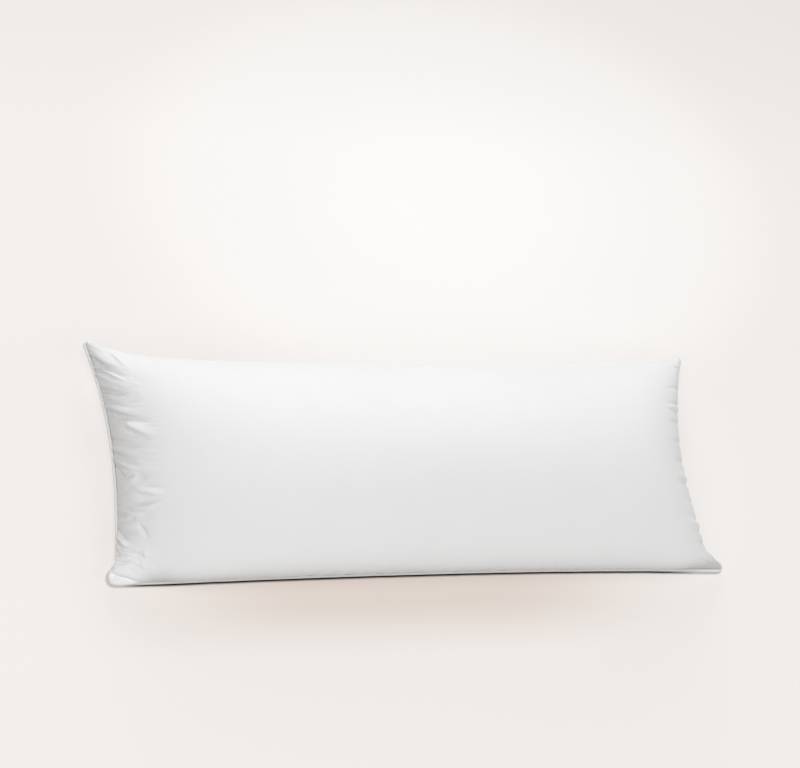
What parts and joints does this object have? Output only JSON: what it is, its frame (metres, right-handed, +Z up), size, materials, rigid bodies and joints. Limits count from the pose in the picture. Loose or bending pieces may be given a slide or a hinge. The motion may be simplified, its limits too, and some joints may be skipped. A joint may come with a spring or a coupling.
{
  "type": "lumbar pillow insert",
  "caption": "Long white cushion insert with a full crown, drawn-in sides, thin corner ears and self-fabric piping, to fill a lumbar cushion cover.",
  "frame": {"origin": "on the surface that the cushion lies on, under the middle of its outline", "axes": "+X along the cushion towards its right end, +Y across it towards its upper edge, +Z up out of the front panel"},
  "size_m": [0.9414, 0.3314, 0.1497],
  "materials": {
    "cotton_percale": "matt white cotton percale, fine plain weave",
    "cotton_piping": "matt white cotton, bias strip round a cord"
  },
  "bodies": {
    "root": {"pillow_body": "cotton_percale", "piping": "cotton_piping"}
  },
  "joints": []
}
